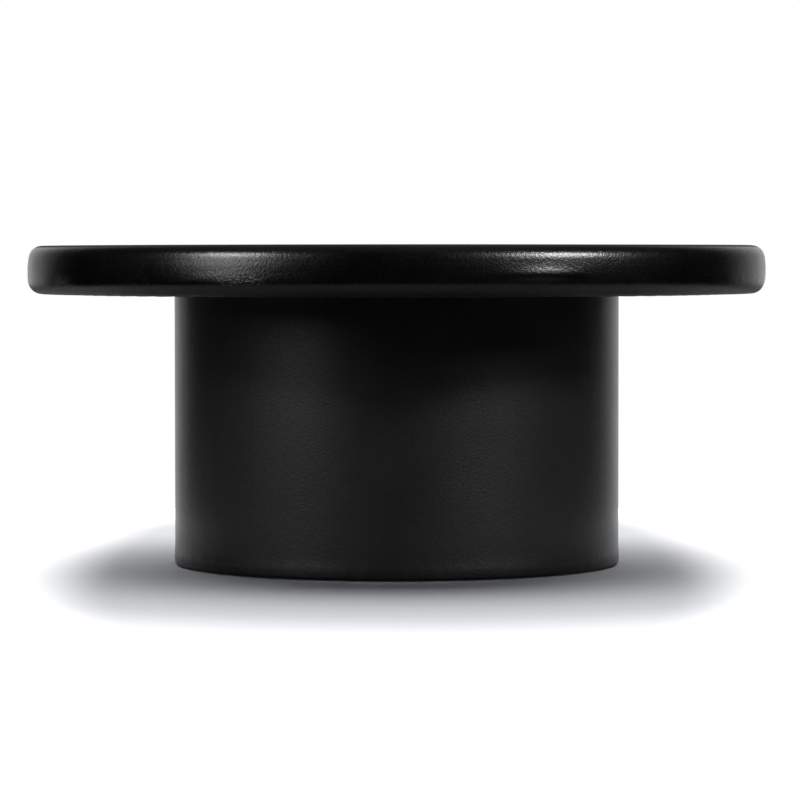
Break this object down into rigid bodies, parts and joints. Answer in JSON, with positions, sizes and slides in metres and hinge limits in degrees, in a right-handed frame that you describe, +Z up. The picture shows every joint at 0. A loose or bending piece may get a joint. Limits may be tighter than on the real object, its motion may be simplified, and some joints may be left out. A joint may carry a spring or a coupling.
{
  "type": "cocktail table",
  "caption": "Low round table: a thick soft-edged leather-covered top on a straight leather-covered drum that stands on recessed screw levelling feet.",
  "frame": {"origin": "on the floor under the middle of the drum", "axes": "+Z up; -Y towards the viewer of the picture, so the drum's leather seam is at the back, +Y"},
  "size_m": [1.0159, 1.016, 0.44],
  "materials": {
    "black_leather": "fine pebble grain, semi-gloss",
    "fibreboard": "raw fibreboard",
    "solid_wood": "planed softwood",
    "plywood": "raw plywood",
    "dust_cloth": "black non-woven cloth",
    "zinc_steel": "zinc plated",
    "black_nylon": "moulded nylon"
  },
  "bodies": {
    "table": {"top_hide": "black_leather", "drum_hide": "black_leather", "upper_panel": "fibreboard", "lower_panel": "fibreboard", "rim_segment_1": "solid_wood", "rim_segment_2": "solid_wood", "rim_segment_3": "solid_wood", "rim_segment_4": "solid_wood", "rim_segment_5": "solid_wood", "rim_segment_6": "solid_wood", "core_rib_1": "solid_wood", "core_rib_2": "solid_wood", "core_rib_3": "solid_wood", "core_rib_4": "solid_wood", "core_rib_5": "solid_wood", "core_rib_6": "solid_wood", "post_1": "solid_wood", "post_2": "solid_wood", "post_3": "solid_wood", "post_4": "solid_wood", "post_5": "solid_wood", "post_6": "solid_wood", "post_7": "solid_wood", "post_8": "solid_wood", "hub_block": "plywood", "drum_top_ring": "plywood", "drum_mid_ring": "plywood", "drum_base_ring": "plywood", "inner_ply_wrap": "plywood", "outer_ply_wrap": "plywood", "underside_lining": "dust_cloth", "hide_staples": "zinc_steel", "lining_staples": "zinc_steel", "drum_staples": "zinc_steel", "top_post_screws": "zinc_steel", "base_post_screws": "zinc_steel", "threaded_inserts": "zinc_steel", "top_bolts": "zinc_steel", "bolt_washers": "zinc_steel", "tee_nuts": "zinc_steel"},
    "pad_1": {"leveller_pad_1": "black_nylon"},
    "stem_1": {"leveller_stem_1": "zinc_steel"},
    "pad_2": {"leveller_pad_2": "black_nylon"},
    "stem_2": {"leveller_stem_2": "zinc_steel"},
    "pad_3": {"leveller_pad_3": "black_nylon"},
    "stem_3": {"leveller_stem_3": "zinc_steel"},
    "pad_4": {"leveller_pad_4": "black_nylon"},
    "stem_4": {"leveller_stem_4": "zinc_steel"}
  },
  "joints": [
    {"name": "foot_1_slide", "type": "slide", "parent": "table", "child": "pad_1", "axis": [0, 0, -1], "range_m": [-0.002, 0.01]},
    {"name": "foot_1_screw", "type": "hinge", "parent": "pad_1", "child": "stem_1", "pos_m": [0.18399, 0.18399, 0.02], "axis": [0, 0, -1], "range_deg": [-577, 2881]},
    {"name": "foot_2_slide", "type": "slide", "parent": "table", "child": "pad_2", "axis": [0, 0, -1], "range_m": [-0.002, 0.01]},
    {"name": "foot_2_screw", "type": "hinge", "parent": "pad_2", "child": "stem_2", "pos_m": [-0.18399, 0.18399, 0.02], "axis": [0, 0, -1], "range_deg": [-577, 2881]},
    {"name": "foot_3_slide", "type": "slide", "parent": "table", "child": "pad_3", "axis": [0, 0, -1], "range_m": [-0.002, 0.01]},
    {"name": "foot_3_screw", "type": "hinge", "parent": "pad_3", "child": "stem_3", "pos_m": [-0.18399, -0.18399, 0.02], "axis": [0, 0, -1], "range_deg": [-577, 2881]},
    {"name": "foot_4_slide", "type": "slide", "parent": "table", "child": "pad_4", "axis": [0, 0, -1], "range_m": [-0.002, 0.01]},
    {"name": "foot_4_screw", "type": "hinge", "parent": "pad_4", "child": "stem_4", "pos_m": [0.18399, -0.18399, 0.02], "axis": [0, 0, -1], "range_deg": [-577, 2881]}
  ],
  "couplings": [
    {"joint": "foot_1_screw", "follows": "foot_1_slide", "rad_per_m": 5026.5},
    {"joint": "foot_2_screw", "follows": "foot_2_slide", "rad_per_m": 5026.5},
    {"joint": "foot_3_screw", "follows": "foot_3_slide", "rad_per_m": 5026.5},
    {"joint": "foot_4_screw", "follows": "foot_4_slide", "rad_per_m": 5026.5}
  ]
}
